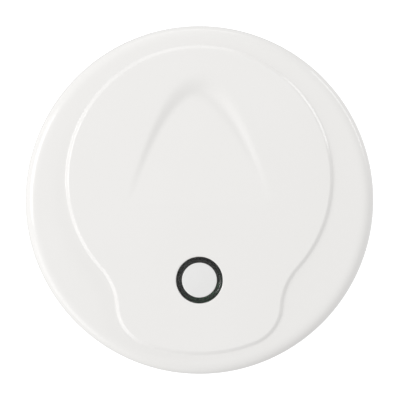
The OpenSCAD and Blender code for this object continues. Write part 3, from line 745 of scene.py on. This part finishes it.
def softened(name, source, width_mm):
    """Copy of a node's mesh: its loose triangles are merged, its flat faces are joined where neighbours meet
    at less than half a degree, and edges over 35 degrees get a rounded bevel."""
    original = frame["nodes"][source].data
    vertices = np.empty(len(original.vertices) * 3)
    original.vertices.foreach_get("co", vertices)
    corners = np.empty(len(original.loops), int)
    original.loops.foreach_get("vertex_index", corners)
    piece = make(name, (vertices.reshape(-1, 3) / MM, corners.reshape(-1, 3)), sharp_angle=180)
    work = bmesh.new()
    work.from_mesh(piece.data)
    bmesh.ops.dissolve_limit(work, angle_limit=FLAT_ANGLE, verts=work.verts, edges=work.edges)
    work.to_mesh(piece.data)
    work.free()
    bevel = piece.modifiers.new("soft edge", "BEVEL")
    bevel.width, bevel.segments = width_mm * MM, 2
    bevel.limit_method, bevel.angle_limit = "ANGLE", EDGE_ANGLE
    bevel.use_clamp_overlap, bevel.harden_normals = False, True
    return piece


plate_plastic = moulded("plate_plastic", (0.8, 0.795, 0.775))
housing_shell = softened("housing_shell", "rear_housing", 0.22)
ceiling_plate = softened("ceiling_plate", "mounting_plate", 0.25)
door_panel = softened("door_panel", "battery_door", 0.18)
seat(housing_shell, "alarm", "housing_plastic", housing_plastic, "rear_housing")
seat(ceiling_plate, "mounting_plate", "plate_plastic", plate_plastic, "mounting_plate")
seat(door_panel, "battery_door", "housing_plastic", housing_plastic, "battery_door")

# %% [markdown]
# ## The insect screen
#
# Behind the inlet a band of fine steel mesh keeps insects out of the sensing chamber. It is woven: each
# upright wire passes in front of one hoop and behind the next. A cosine with two meshes to a wave does just
# that, and the hoops take the same wave the other way. Four-sided wires are round enough at this size.

# %% Weave the screen
SCREEN_MARGIN, SELVEDGE = 0.12, 0.4
SCREEN_R = (screen_high[0] - screen_low[0]) / 2 - SCREEN_MARGIN
SCREEN_MIDDLE = (screen_low[:2] + screen_high[:2]) / 2
WIRE_R, WIRE_WAVE = 0.08, 0.09
UPRIGHTS, HOOPS = 120, 14


def wire_skin(path, across, over, radius, closed=False, sides=4):
    """Skin of a wire along a path of points: each point gets a ring of radius * (across cos k + over sin k),
    and an open wire is closed by its end points."""
    k = np.linspace(0, 2 * math.pi, sides, endpoint=False)[:, None]
    rings = path[:, None] + radius * (across[:, None] * np.cos(k) + over[:, None] * np.sin(k))
    if not closed:
        ends = [np.repeat(path[[i]], sides, 0)[None] for i in (0, -1)]
        rings = np.vstack([ends[0], rings, ends[1]])
    return skin(rings, close_rows=closed)


def spoke(angle):
    """Unit vectors away from the chamber's axis at the given angles."""
    return np.stack([np.cos(angle), np.sin(angle), 0 * angle], -1)


hoop_z = np.linspace(screen_low[2] + SELVEDGE, screen_high[2] - SELVEDGE, HOOPS)
wires = []
for i in range(UPRIGHTS):
    z = np.linspace(screen_low[2], screen_high[2], 2 * HOOPS + 1)
    wave = WIRE_WAVE * np.cos(math.pi * (np.interp(z, hoop_z, np.arange(HOOPS)) + i))
    out = spoke(np.full(len(z), 2 * math.pi * i / UPRIGHTS))
    path = out * (SCREEN_R + wave)[:, None] + np.column_stack([np.tile(SCREEN_MIDDLE, (len(z), 1)), z])
    side = np.cross(out, [0, 0, 1])
    wires.append(wire_skin(path, out, side, WIRE_R))
for j, z in enumerate(hoop_z):
    a = np.linspace(0, 2 * math.pi, 2 * UPRIGHTS, endpoint=False)
    out = spoke(a)
    wave = -WIRE_WAVE * np.cos(math.pi * j) * np.cos(UPRIGHTS / 2 * a)
    path = out * (SCREEN_R + wave)[:, None] + [*SCREEN_MIDDLE, z]
    wires.append(wire_skin(path, out, np.tile([0.0, 0.0, 1.0], (len(a), 1)), WIRE_R, closed=True))
woven = make("woven_screen", *wires)
print(f"{UPRIGHTS} uprights and {HOOPS} hoops")

# %% [markdown]
# ## The parts that keep their design shape
#
# The other parts are seen from behind, or through the inlet and the ring, and their designed shapes are
# already right. Each gets its own finish. The finishes are grouped by what the parts are made of.

# %% Plain plastics
horn_plastic = moulded("horn_plastic", (0.75, 0.74, 0.7))


def scuffed(name, colour, shine):
    """Plastic, resin or ceramic whose colour and gloss vary from place to place, as handling leaves it."""
    made = material(name, colour, shine, IOR=1.5)
    tint(made, 3, [c * 0.8 for c in colour], [c * 1.3 + 0.004 for c in colour])
    gloss(made, 2, shine - 0.08, shine + 0.12)
    grain(made, 0.4, 0.01)
    return made


black_plastic = scuffed("black_plastic", (0.02, 0.02, 0.022), 0.42)
capacitor_sleeve = scuffed("capacitor_sleeve", (0.02, 0.03, 0.11), 0.3)
led_resin = scuffed("led_resin", (0.16, 0.2, 0.36), 0.12)
dark_resin = scuffed("dark_resin", (0.02, 0.02, 0.035), 0.12)
plastics = (horn_plastic, black_plastic, capacitor_sleeve, led_resin, dark_resin)
print("plastics:", [made.name for made in plastics])

# %% [markdown]
# ### Metals
#
# Springs, strips, screws and the cell's can are drawn or rolled, and that leaves fine lines. The lines spread
# a reflection across them and not along them, and noise that is stretched one way gives the same look.

# %% Metal finishes
DRAWN_OUT = 12


def metal(name, colour, shine, line_mm=0.25):
    """Metal with fine drawing lines: noise drawn out along X moves both gloss and height."""
    made = material(name, colour, shine, Metallic=1.0)
    stretched = mapped(made, Scale=(1 / DRAWN_OUT, 1, 1))
    where = {"Vector": stretched, "Scale": 1 / (line_mm * MM), "Detail": 4.0}
    lines = node(made, "ShaderNodeTexNoise", where).outputs["Fac"]
    wire(made, ranged(made, lines, 0, 1, shine - 0.1, shine + 0.12), "Roughness")
    bump(made, lines, 0.004)
    tint(made, 6, [c * 0.94 for c in colour], [min(c * 1.05, 1) for c in colour])
    return made


steel = metal("steel", (0.6, 0.6, 0.6), 0.3)
nickel = metal("nickel", (0.68, 0.65, 0.6), 0.24)
brass = metal("brass", (0.78, 0.6, 0.28), 0.3)
cell_metal = metal("cell_metal", (0.66, 0.65, 0.63), 0.26)
screen_mesh = metal("screen_mesh", (0.5, 0.5, 0.5), 0.35)
seat(woven, "alarm", "screen_mesh", screen_mesh, "insect_screen")
copper_winding = metal("copper_winding", (0.72, 0.32, 0.16), 0.3, 0.12)
print("metals:", [made.name for made in (steel, nickel, brass, cell_metal, screen_mesh, copper_winding)])

# %% [markdown]
# ### The circuit board
#
# The board is green laminate with copper tracks under the lacquer, which shows them as slightly lighter,
# slightly raised strips. They run in bundles along the board's two directions, so two sheets of long thin
# bricks stand for them, seen by their joints, and blocks of noise choose between the two. Small dots are the
# plated holes. Round the lamps the board is painted near-black: this is painted shade, which keeps the clear
# ring above it dark. The green starts just below the button.

# %% Board finish
def painted(made, factor, under, over):
    """Feeds one colour where the factor is 0 and the other where it is 1 into the base colour."""
    mixed = node(made, "ShaderNodeMix", {"Factor": factor, "A": under, "B": over}, data_type="RGBA")
    wire(made, mixed.outputs["Result"], "Base Color")


board_laminate = material("board_laminate", (0.03, 0.18, 0.07), 0.3, IOR=1.5)
TRACK_PITCH, TRACK_RUN, TRACK_W = 1.27, 17.0, 0.16
BUNDLE, HOLE_SPACING, HOLE_SHARE = 11.0, 4.2, 0.1
bricks = {"Scale": 1 / MM, "Brick Width": TRACK_RUN, "Row Height": TRACK_PITCH, "Mortar Size": TRACK_W,
          "Mortar Smooth": 0.3}


def strips(coordinates):
    """1 on the joints between long thin bricks, which are the tracks, and 0 on the bricks."""
    return node(board_laminate, "ShaderNodeTexBrick", {"Vector": coordinates, **bricks}).outputs["Fac"]


across = strips(place(board_laminate))
upwards = strips(mapped(board_laminate, Rotation=(0.0, 0.0, math.pi / 2)))
blocks = {"Vector": place(board_laminate), "Scale": 1 / (BUNDLE * MM)}
block = node(board_laminate, "ShaderNodeTexVoronoi", blocks, distance="CHEBYCHEV").outputs["Color"]
either = {"Factor": maths(board_laminate, "GREATER_THAN", block, 0.5), "A": across, "B": upwards}
strip = node(board_laminate, "ShaderNodeMix", either).outputs["Result"]
spots = {"Vector": place(board_laminate), "Scale": 1 / (HOLE_SPACING * MM)}
from_hole = node(board_laminate, "ShaderNodeTexVoronoi", spots).outputs["Distance"]
plated = maths(board_laminate, "LESS_THAN", from_hole, HOLE_SHARE)
tracks = maths(board_laminate, "MAXIMUM", strip, plated)

# %% Lacquer and painted shade
# A near-black circle round the lamps is painted shade: it darkens what shows through the clear ring above.
SHADE_PAINT_CENTRE, SHADE_PAINT_R, SHADE_PAINT_EDGE = (BUTTON[0] - 1.5, BUTTON[1] + 2.6, BOARD_TOP), 8.8, 0.1
greens = {"Factor": tracks, "A": (0.042, 0.24, 0.095, 1), "B": (0.075, 0.35, 0.15, 1)}
lacquer = node(board_laminate, "ShaderNodeMix", greens, data_type="RGBA").outputs["Result"]
from_painted_shade = distance_from(board_laminate, SHADE_PAINT_CENTRE)
outside_painted_shade = ranged(board_laminate, from_painted_shade, (SHADE_PAINT_R - SHADE_PAINT_EDGE) * MM, (SHADE_PAINT_R + SHADE_PAINT_EDGE) * MM)
# Near-black painted shade inside the circle, the green lacquer outside it.
painted(board_laminate, outside_painted_shade, (0.012, 0.013, 0.012, 1), lacquer)
bump(board_laminate, tracks, 0.03)
print(f"tracks every {TRACK_PITCH} mm, printed circle of {SHADE_PAINT_R} mm radius")
gloss(board_laminate, 5, 0.24, 0.34)

# %% [markdown]
# ### Small parts of two materials
#
# A chip is a black body with tin-plated leads, and a chip resistor has tin-plated ends. Each of these is one
# part, so one finish carries both: the body's colour holds inside given spans of a coordinate, and bright
# tin shows everywhere else.

# %% Parts with tinned leads or ends
def inside(made, spans):
    """1 where any coordinate lies within its span (axis, low, high in millimetres), and 0 elsewhere: how far
    it is from the span's middle is compared with half the span."""
    where = node(made, "ShaderNodeSeparateXYZ", {"Vector": place(made)})
    found = 0.0
    for axis, low, high in spans:
        middle, half_span = (low + high) / 2 * MM, (high - low) / 2 * MM
        within = maths(made, "COMPARE", where.outputs[axis], middle, half_span)
        found = maths(made, "MAXIMUM", within, found)
    return found


def own_colour(made):
    """The output that feeds a material's base colour so far."""
    return made.node_tree.nodes["Principled BSDF"].inputs["Base Color"].links[0].from_socket


def tinned(name, colour, shine, spans, plating=(0.7, 0.69, 0.66, 1)):
    """Plastic or ceramic inside the spans, plated metal elsewhere."""
    made = scuffed(name, colour, shine)
    body = inside(made, spans)
    painted(made, body, plating, own_colour(made))
    wire(made, ranged(made, body, 0, 1, 1.0, 0.0), "Metallic")
    return made


def between_leads(node_name):
    """Span of a chip's body along X: its box without the leads on both sides."""
    low, high = span(node_name)
    return "X", low[0] + LEAD, high[0] - LEAD


def middles(*lines):
    """Spans of the small chips' bodies, between their ends, on each line (axis, middle)."""
    return [(axis, middle - BODY_HALF, middle + BODY_HALF) for axis, middle in lines]


LEAD, BODY_HALF, PIN_L = 1.0, 1.1, 2.2
RESISTOR_LINES = (("X", -18), ("X", -12), ("Y", 14))
CAPACITOR_LINES = (("X", -11), ("X", 13), ("Y", 5))
bodies = [between_leads("microcontroller"), between_leads("horn_driver")]
chip_epoxy = tinned("chip_epoxy", (0.028, 0.028, 0.03), 0.55, bodies)
chip_resistor = tinned("chip_resistor", (0.03, 0.03, 0.03), 0.4, middles(*RESISTOR_LINES))
chip_ceramic = tinned("chip_ceramic", (0.42, 0.28, 0.16), 0.45, middles(*CAPACITOR_LINES))
header_low, header_high = span("test_header")
header_plastic = tinned("header_plastic", (0.02, 0.02, 0.022), 0.42,
                        [("Z", header_low[2], header_high[2] - PIN_L)], plating=(0.9, 0.66, 0.3, 1))
print("two-part finishes:", [made.name for made in (chip_epoxy, chip_resistor, chip_ceramic, header_plastic)])

# %% [markdown]
# ### Lamps, sounder disc, sleeve and label
#
# The lamps are milky resin. The cell wears a shrunk film, which clings in long shallow folds and has a silver
# stripe near one end. The label is plain paper with a printed border: the lines along the four edges, less
# the margin outside them.

# %% Lamps, sounder disc and sleeve
status_led = material("status_led", (0.86, 0.84, 0.7), 0.2, IOR=1.5, Subsurface_Weight=0.2)
tint(status_led, 1, (0.84, 0.82, 0.68), (0.9, 0.88, 0.76))
gloss(status_led, 1, 0.15, 0.3)
horn_ceramic = scuffed("horn_ceramic", (0.6, 0.6, 0.58), 0.5)

cell_sleeve = material("cell_sleeve", (0.03, 0.14, 0.3), 0.25, IOR=1.5)
FOLD_SIZE, FOLD_STRETCH, STRIPE_FROM, STRIPE_TO = 1.5, 10, 9, 3
where = {"Vector": mapped(cell_sleeve, Scale=(1 / FOLD_STRETCH, 1, 1)), "Scale": 1 / (FOLD_SIZE * MM)}
folds = node(cell_sleeve, "ShaderNodeTexNoise", where).outputs["Fac"]
sleeve_end = span("battery_sleeve")[1][0]
stripe = inside(cell_sleeve, [("X", sleeve_end - STRIPE_FROM, sleeve_end - STRIPE_TO)])
painted(cell_sleeve, stripe, (0.025, 0.12, 0.27, 1), (0.62, 0.64, 0.66, 1))
bump(cell_sleeve, folds, 0.02)
gloss(cell_sleeve, 6, 0.2, 0.32)
print(f"sleeve's stripe {STRIPE_FROM - STRIPE_TO} mm wide")

# %% Label and its border
label_paper = moulded("label_paper", (0.7, 0.71, 0.72))
label_low, label_high = span("rating_label")
LINE, INSET = 0.35, 1.2


def edge_bands(start, width):
    """Bands of one width along the label's four edges, which start at one distance inside them."""
    lows = [(axis, low + start, low + start + width) for axis, low in zip("XY", label_low)]
    highs = [(axis, high - start - width, high - start) for axis, high in zip("XY", label_high)]
    return lows + highs


lines = inside(label_paper, edge_bands(INSET, LINE))
margin = inside(label_paper, edge_bands(-LINE, INSET + LINE))
border = maths(label_paper, "SUBTRACT", lines, margin, use_clamp=True)
painted(label_paper, border, own_colour(label_paper), (0.25, 0.26, 0.28, 1))
print(f"border {INSET} mm inside a label of {label_high[0] - label_low[0]:.0f} mm")

# %% [markdown]
# ## Every part gets its finish
#
# The record names each part's finish, so a table from names to finishes serves them all. The header shares
# its plastic with other black parts, but its pins are gold, so it gets its own.

# %% Give every node its finish
finishes = {
    "plate_plastic": plate_plastic, "housing_plastic": housing_plastic, "black_plastic": black_plastic,
    "steel": steel, "nickel": nickel, "brass": brass, "cell_metal": cell_metal, "cell_sleeve": cell_sleeve,
    "screen_mesh": screen_mesh, "copper_winding": copper_winding, "board_laminate": board_laminate,
    "status_led": status_led, "chip_epoxy": chip_epoxy, "chip_resistor": chip_resistor,
    "chip_ceramic": chip_ceramic, "capacitor_sleeve": capacitor_sleeve, "led_resin": led_resin,
    "dark_resin": dark_resin, "horn_plastic": horn_plastic, "horn_ceramic": horn_ceramic,
    "label_paper": label_paper, "cover_plastic": cover_plastic, "clear_plastic": clear_plastic,
    "button_plastic": button_plastic,
}
for part in frame["record"]["subparts"]:
    for each in frame["nodes"][part["node"]].material_slots:
        each.material = finishes[part["material_slot"]]
for each in frame["nodes"]["test_header"].material_slots:
    each.material = header_plastic
print(len(frame["nodes"]), "nodes have their finish")

# %% [markdown]
# ## The floor
#
# The alarm lies on its back on a light table: a plain white sheet that glows from below. So the ground
# stays as white as paper right up to the part, with no shadow, as in a shop's picture. Its glow would wash
# out the rounded rim, so the part itself doesn't see it: it gets the world's soft light from below instead.

# %% Lay the floor
GLOW, REACH = 0.95, 6.0
paper = material("paper", (0.3, 0.3, 0.3), 0.8, Emission_Strength=GLOW)
paper.node_tree.nodes["Principled BSDF"].inputs["Emission Color"].default_value = (1, 1, 1, 1)
grain(paper, 3, 0.02)
floor_mesh = bpy.data.meshes.new("floor")
corners = [(-REACH, -REACH, 0), (REACH, -REACH, 0), (REACH, REACH, 0), (-REACH, REACH, 0)]
floor_mesh.from_pydata(corners, [], [(0, 1, 2, 3)])
floor_mesh.materials.append(paper)
floor = bpy.data.objects.new("floor", floor_mesh)
bpy.context.collection.objects.link(floor)
floor.visible_diffuse = floor.visible_glossy = False
floor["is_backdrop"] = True
print(f"floor {2 * REACH:.0f} m wide")

# %% [markdown]
# ## The last look at the sizes
#
# The box round everything that is shown is worked out at the end.

# %% The box round the looks
low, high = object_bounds()
